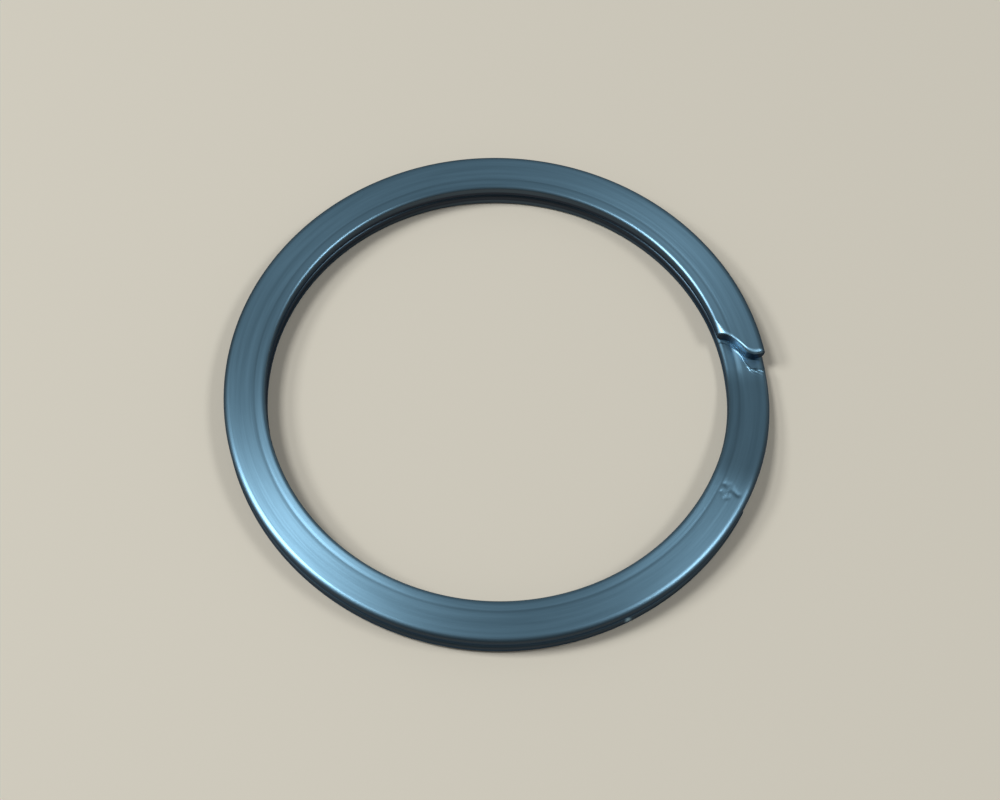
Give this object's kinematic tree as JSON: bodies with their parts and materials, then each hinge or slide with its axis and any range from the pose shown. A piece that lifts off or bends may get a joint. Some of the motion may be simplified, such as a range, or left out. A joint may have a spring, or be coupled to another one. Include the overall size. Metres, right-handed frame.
{
  "type": "split key ring",
  "caption": "Split key ring wound from flattened spring-steel wire in overlapping flat turns, with a crossover and springy free ends.",
  "frame": {"origin": "centre of the ring on its bottom face", "axes": "+Z along the ring's axis, out of the upper turn; the upper free end is near +X and the crossover just clockwise of it"},
  "size_m": [0.032, 0.032, 0.0018],
  "materials": {
    "spring_steel": "satin"
  },
  "bodies": {
    "wire_root": {"crossover": "spring_steel", "upper_turn_root": "spring_steel", "lower_turn_root": "spring_steel"},
    "upper_stretch_1": {"upper_stretch_1": "spring_steel"},
    "upper_stretch_2": {"upper_stretch_2": "spring_steel"},
    "upper_stretch_3": {"upper_stretch_3": "spring_steel"},
    "upper_stretch_4": {"upper_stretch_4": "spring_steel"},
    "upper_stretch_5": {"upper_stretch_5": "spring_steel"},
    "upper_free_end": {"upper_free_end": "spring_steel"},
    "lower_stretch_1": {"lower_stretch_1": "spring_steel"},
    "lower_stretch_2": {"lower_stretch_2": "spring_steel"},
    "lower_stretch_3": {"lower_stretch_3": "spring_steel"},
    "lower_stretch_4": {"lower_stretch_4": "spring_steel"},
    "lower_stretch_5": {"lower_stretch_5": "spring_steel"},
    "lower_free_end": {"lower_free_end": "spring_steel"}
  },
  "joints": [
    {"name": "upper_bend_1", "type": "hinge", "parent": "wire_root", "child": "upper_stretch_1", "pos_m": [-0.01559, -0.0036, 0.00178], "axis": [0.1916, -0.9815, 0], "range_deg": [0, 1.48], "stiffness_Nm_per_rad": 4.396},
    {"name": "upper_bend_2", "type": "hinge", "parent": "upper_stretch_1", "child": "upper_stretch_2", "pos_m": [-0.0153, 0.00468, 0.00178], "axis": [-0.0133, -0.9999, 0], "range_deg": [0, 1.46], "stiffness_Nm_per_rad": 4.335},
    {"name": "upper_bend_3", "type": "hinge", "parent": "upper_stretch_2", "child": "upper_stretch_3", "pos_m": [-0.01091, 0.0117, 0.00178], "axis": [-0.2341, -0.9722, 0], "range_deg": [0, 1.38], "stiffness_Nm_per_rad": 4.154},
    {"name": "upper_bend_4", "type": "hinge", "parent": "upper_stretch_3", "child": "upper_stretch_4", "pos_m": [-0.0036, 0.01559, 0.00178], "axis": [-0.4673, -0.8841, 0], "range_deg": [0, 1.2], "stiffness_Nm_per_rad": 3.939},
    {"name": "upper_bend_5", "type": "hinge", "parent": "upper_stretch_4", "child": "upper_stretch_5", "pos_m": [0.00468, 0.0153, 0.00178], "axis": [-0.6911, -0.7228, 0], "range_deg": [0, 0.906], "stiffness_Nm_per_rad": 3.759},
    {"name": "upper_bend_6", "type": "hinge", "parent": "upper_stretch_5", "child": "upper_free_end", "pos_m": [0.0117, 0.01091, 0.00178], "axis": [-0.8721, -0.4893, 0], "range_deg": [0, 0.511], "stiffness_Nm_per_rad": 3.642},
    {"name": "lower_bend_1", "type": "hinge", "parent": "wire_root", "child": "lower_stretch_1", "pos_m": [-0.01399, 0.00776, 0], "axis": [0.4547, 0.8907, 0], "range_deg": [0, 1.48], "stiffness_Nm_per_rad": 4.396},
    {"name": "lower_bend_2", "type": "hinge", "parent": "lower_stretch_1", "child": "lower_stretch_2", "pos_m": [-0.016, -0.00028, 0], "axis": [0.2628, 0.9648, 0], "range_deg": [0, 1.46], "stiffness_Nm_per_rad": 4.335},
    {"name": "lower_bend_3", "type": "hinge", "parent": "lower_stretch_2", "child": "lower_stretch_3", "pos_m": [-0.01371, -0.00824, 0], "axis": [0.043, 0.9991, 0], "range_deg": [0, 1.38], "stiffness_Nm_per_rad": 4.154},
    {"name": "lower_bend_4", "type": "hinge", "parent": "lower_stretch_3", "child": "lower_stretch_4", "pos_m": [-0.00776, -0.01399, 0], "axis": [-0.2055, 0.9786, 0], "range_deg": [0, 1.2], "stiffness_Nm_per_rad": 3.939},
    {"name": "lower_bend_5", "type": "hinge", "parent": "lower_stretch_4", "child": "lower_stretch_5", "pos_m": [0.00028, -0.016, 0], "axis": [-0.4651, 0.8853, 0], "range_deg": [0, 0.906], "stiffness_Nm_per_rad": 3.759},
    {"name": "lower_bend_6", "type": "hinge", "parent": "lower_stretch_5", "child": "lower_free_end", "pos_m": [0.00824, -0.01371, 0], "axis": [-0.7035, 0.7107, 0], "range_deg": [0, 0.511], "stiffness_Nm_per_rad": 3.642}
  ]
}
